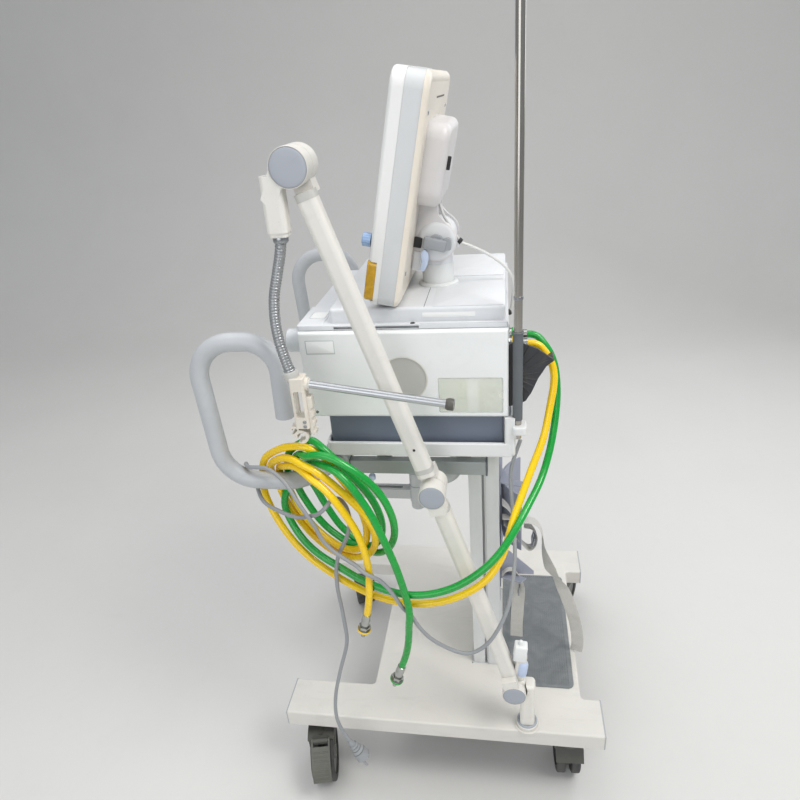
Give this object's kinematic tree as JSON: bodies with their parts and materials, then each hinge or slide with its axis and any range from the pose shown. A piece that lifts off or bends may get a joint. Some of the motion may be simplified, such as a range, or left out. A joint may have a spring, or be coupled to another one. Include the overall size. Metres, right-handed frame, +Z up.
{
  "type": "ventilator on trolley",
  "caption": "Mechanical ventilator on a wheeled trolley, with tilting touch display, side handles and rails, jointed tube arm, infusion pole and gas hoses.",
  "frame": {"origin": "on the floor, under the centre of the trolley base (between the four casters' swivel axes in X)", "axes": "+Z up, -Y to the front where the display faces, +X to the side that carries the tube arm and the infusion pole"},
  "size_m": [0.718, 0.7231, 1.775],
  "materials": {
    "white_shell": "fine satin powder coat",
    "base_shell": "satin moulded shell",
    "base_frame": "black-grey e-coat",
    "end_cap_plastic": "fine texture",
    "mat_rubber": "ribbed",
    "column_alu": "bead blasted and clear coated",
    "bolt_steel": "zinc plated",
    "shelf_white": "fine satin powder coat",
    "rail_metal": "satin anodised",
    "handle_grey": "satin",
    "pole_steel": "polished stainless",
    "sleeve_grey": "satin",
    "unit_dark": "satin blue-grey",
    "board_green": "solder mask",
    "inner_sheet": "mill",
    "panel_white": "satin moulded",
    "top_white": "satin moulded",
    "port_plastic": "satin",
    "blower_black": "satin",
    "fitting_brass": "nickelled and brass",
    "guard_plastic": "satin",
    "hose_green": "gloss",
    "hose_yellow": "gloss",
    "cable_grey": "matt",
    "post_white": "satin",
    "swivel_white": "satin",
    "bezel_white": "satin moulded",
    "screen_glass": "anti-glare glass over a dark panel",
    "lens_amber": "translucent",
    "band_grey": "satin",
    "rear_cover_white": "satin moulded",
    "pod_grey": "satin",
    "knob_blue": "satin",
    "key_grey": "soft touch",
    "lever_grey": "satin",
    "arm_cream": "satin powder coat",
    "gooseneck_grey": "ribbed sleeve",
    "holder_lilac": "satin",
    "rod_steel": "polished",
    "holder_metal": "satin",
    "strap_fabric": "woven webbing",
    "bracket_steel": "satin",
    "caster_plastic": "fine texture",
    "caster_tyre": "matt",
    "pedal_plastic": "ribbed"
  },
  "bodies": {
    "trolley": {"base_cover": "base_shell", "base_chassis": "base_frame", "beam_end_caps": "end_cap_plastic", "cylinder_mat": "mat_rubber", "column": "column_alu", "column_bolts": "bolt_steel", "shelf": "shelf_white", "side_rails": "rail_metal", "push_handles": "handle_grey", "infusion_pole": "pole_steel", "pole_sleeve": "sleeve_grey", "base_unit_housing": "unit_dark", "electronics": "board_green", "ventilator_chassis": "inner_sheet", "side_panels": "panel_white", "front_panel": "panel_white", "rear_panel": "panel_white", "top_cover": "top_white", "breathing_ports": "port_plastic", "blower_and_mixer": "blower_black", "gas_fittings": "fitting_brass", "rear_guard": "guard_plastic", "oxygen_hose": "hose_green", "air_hose": "hose_yellow", "power_cable": "cable_grey", "display_post": "post_white", "display_cable": "cable_grey", "cylinder_holder": "holder_metal", "cylinder_straps": "strap_fabric", "accessory_bracket": "bracket_steel"},
    "swivel": {"swivel_head": "swivel_white"},
    "display": {"display_front_bezel": "bezel_white", "display_screen": "screen_glass", "alarm_lens": "lens_amber", "display_mid_frame": "band_grey", "display_rear_cover": "rear_cover_white", "display_rear_pod": "pod_grey"},
    "knob": {"display_knob": "knob_blue"},
    "key": {"alarm_key": "key_grey"},
    "lever": {"release_lever": "lever_grey"},
    "arm_base": {"arm_post": "arm_cream"},
    "arm_lower": {"arm_lower_link": "arm_cream"},
    "arm_upper": {"arm_upper_link": "arm_cream"},
    "arm_end": {"arm_head": "arm_cream", "gooseneck": "gooseneck_grey"},
    "holder": {"tube_holder": "holder_lilac", "ferrule_and_rod": "rod_steel"},
    "accessory": {"accessory_link": "bracket_steel"},
    "caster_front_right_swivel": {"caster_front_right_housing": "caster_plastic"},
    "caster_front_right_wheels": {"caster_front_right_wheels": "caster_tyre"},
    "caster_front_right_pedal": {"caster_front_right_pedal": "pedal_plastic"},
    "caster_rear_right_swivel": {"caster_rear_right_housing": "caster_plastic"},
    "caster_rear_right_wheels": {"caster_rear_right_wheels": "caster_tyre"},
    "caster_rear_right_pedal": {"caster_rear_right_pedal": "pedal_plastic"},
    "caster_front_left_swivel": {"caster_front_left_housing": "caster_plastic"},
    "caster_front_left_wheels": {"caster_front_left_wheels": "caster_tyre"},
    "caster_front_left_pedal": {"caster_front_left_pedal": "pedal_plastic"},
    "caster_rear_left_swivel": {"caster_rear_left_housing": "caster_plastic"},
    "caster_rear_left_wheels": {"caster_rear_left_wheels": "caster_tyre"},
    "caster_rear_left_pedal": {"caster_rear_left_pedal": "pedal_plastic"}
  },
  "joints": [
    {"name": "caster_front_right_turn", "type": "hinge", "parent": "trolley", "child": "caster_front_right_swivel", "pos_m": [0.24, -0.278, 0.15], "axis": [0, 0, 1], "continuous": true},
    {"name": "caster_front_right_roll", "type": "hinge", "parent": "caster_front_right_swivel", "child": "caster_front_right_wheels", "pos_m": [0.27717, -0.2701, 0.0625], "axis": [-0.2079, 0.9781, 0], "continuous": true},
    {"name": "caster_front_right_brake", "type": "hinge", "parent": "caster_front_right_swivel", "child": "caster_front_right_pedal", "pos_m": [0.30226, -0.26477, 0.13298], "axis": [-0.2079, 0.9781, 0], "range_deg": [0, 6], "stiffness_Nm_per_rad": 2},
    {"name": "caster_rear_right_turn", "type": "hinge", "parent": "trolley", "child": "caster_rear_right_swivel", "pos_m": [0.24, 0.272, 0.15], "axis": [0, 0, 1], "continuous": true},
    {"name": "caster_rear_right_roll", "type": "hinge", "parent": "caster_rear_right_swivel", "child": "caster_rear_right_wheels", "pos_m": [0.20202, 0.27067, 0.0625], "axis": [0.0349, -0.9994, 0], "continuous": true},
    {"name": "caster_rear_right_brake", "type": "hinge", "parent": "caster_rear_right_swivel", "child": "caster_rear_right_pedal", "pos_m": [0.17639, 0.26978, 0.13298], "axis": [0.0349, -0.9994, 0], "range_deg": [0, 6], "stiffness_Nm_per_rad": 2},
    {"name": "caster_front_left_turn", "type": "hinge", "parent": "trolley", "child": "caster_front_left_swivel", "pos_m": [-0.24, -0.278, 0.15], "axis": [0, 0, 1], "continuous": true},
    {"name": "caster_front_left_roll", "type": "hinge", "parent": "caster_front_left_swivel", "child": "caster_front_left_wheels", "pos_m": [-0.27571, -0.291, 0.0625], "axis": [0.342, -0.9397, 0], "continuous": true},
    {"name": "caster_front_left_brake", "type": "hinge", "parent": "caster_front_left_swivel", "child": "caster_front_left_pedal", "pos_m": [-0.29981, -0.29977, 0.13298], "axis": [0.342, -0.9397, 0], "range_deg": [0, 6], "stiffness_Nm_per_rad": 2},
    {"name": "caster_rear_left_turn", "type": "hinge", "parent": "trolley", "child": "caster_rear_left_swivel", "pos_m": [-0.24, 0.272, 0.15], "axis": [0, 0, 1], "continuous": true},
    {"name": "caster_rear_left_roll", "type": "hinge", "parent": "caster_rear_left_swivel", "child": "caster_rear_left_wheels", "pos_m": [-0.27291, 0.291, 0.0625], "axis": [-0.5, -0.866, 0], "continuous": true},
    {"name": "caster_rear_left_brake", "type": "hinge", "parent": "caster_rear_left_swivel", "child": "caster_rear_left_pedal", "pos_m": [-0.29512, 0.30383, 0.13298], "axis": [-0.5, -0.866, 0], "range_deg": [0, 6], "stiffness_Nm_per_rad": 2},
    {"name": "display_swivel", "type": "hinge", "parent": "trolley", "child": "swivel", "pos_m": [0.03, 0.016, 1.118], "axis": [0, 0, 1], "range_deg": [-90, 90], "deforming": ["display_cable"]},
    {"name": "display_tilt", "type": "hinge", "parent": "swivel", "child": "display", "pos_m": [0.03, 0.02, 1.163], "axis": [1, 0, 0], "range_deg": [-20, 1], "stiffness_Nm_per_rad": 400, "deforming": ["display_cable"]},
    {"name": "knob_turn", "type": "hinge", "parent": "display", "child": "knob", "pos_m": [0.1765, -0.07217, 1.19171], "axis": [0, 0.9781, -0.2079], "continuous": true},
    {"name": "alarm_key_press", "type": "slide", "parent": "display", "child": "key", "axis": [0, 0.9781, -0.2079], "range_m": [0, 0.0012], "stiffness_N_per_m": 400},
    {"name": "release_lever_lift", "type": "hinge", "parent": "display", "child": "lever", "pos_m": [0.0755, 0.02, 1.163], "axis": [1, 0, 0], "range_deg": [0, 15], "stiffness_Nm_per_rad": 1.5},
    {"name": "arm_swing", "type": "hinge", "parent": "trolley", "child": "arm_base", "pos_m": [0.268, 0.181, 0.2], "axis": [0, 0, 1], "range_deg": [0, 13]},
    {"name": "arm_shoulder", "type": "hinge", "parent": "arm_base", "child": "arm_lower", "pos_m": [0.268, 0.154, 0.31], "axis": [1, 0, 0], "range_deg": [-8, 2], "stiffness_Nm_per_rad": 2500},
    {"name": "arm_elbow", "type": "hinge", "parent": "arm_lower", "child": "arm_upper", "pos_m": [0.268, 0.014, 0.78], "axis": [1, 0, 0], "range_deg": [-15, 2], "stiffness_Nm_per_rad": 1200},
    {"name": "arm_wrist", "type": "hinge", "parent": "arm_upper", "child": "arm_end", "pos_m": [0.268, -0.155, 1.32], "axis": [1, 0, 0], "range_deg": [-12, 10], "stiffness_Nm_per_rad": 300},
    {"name": "gooseneck_bend", "type": "hinge", "parent": "arm_end", "child": "holder", "pos_m": [0.3, -0.203, 1.125], "axis": [1, 0, 0], "range_deg": [-6, 30], "stiffness_Nm_per_rad": 120, "deforming": ["gooseneck"]},
    {"name": "accessory_swing", "type": "hinge", "parent": "trolley", "child": "accessory", "pos_m": [0.084, -0.044, 0.65], "axis": [0, 0, 1], "range_deg": [-60, 60]}
  ]
}
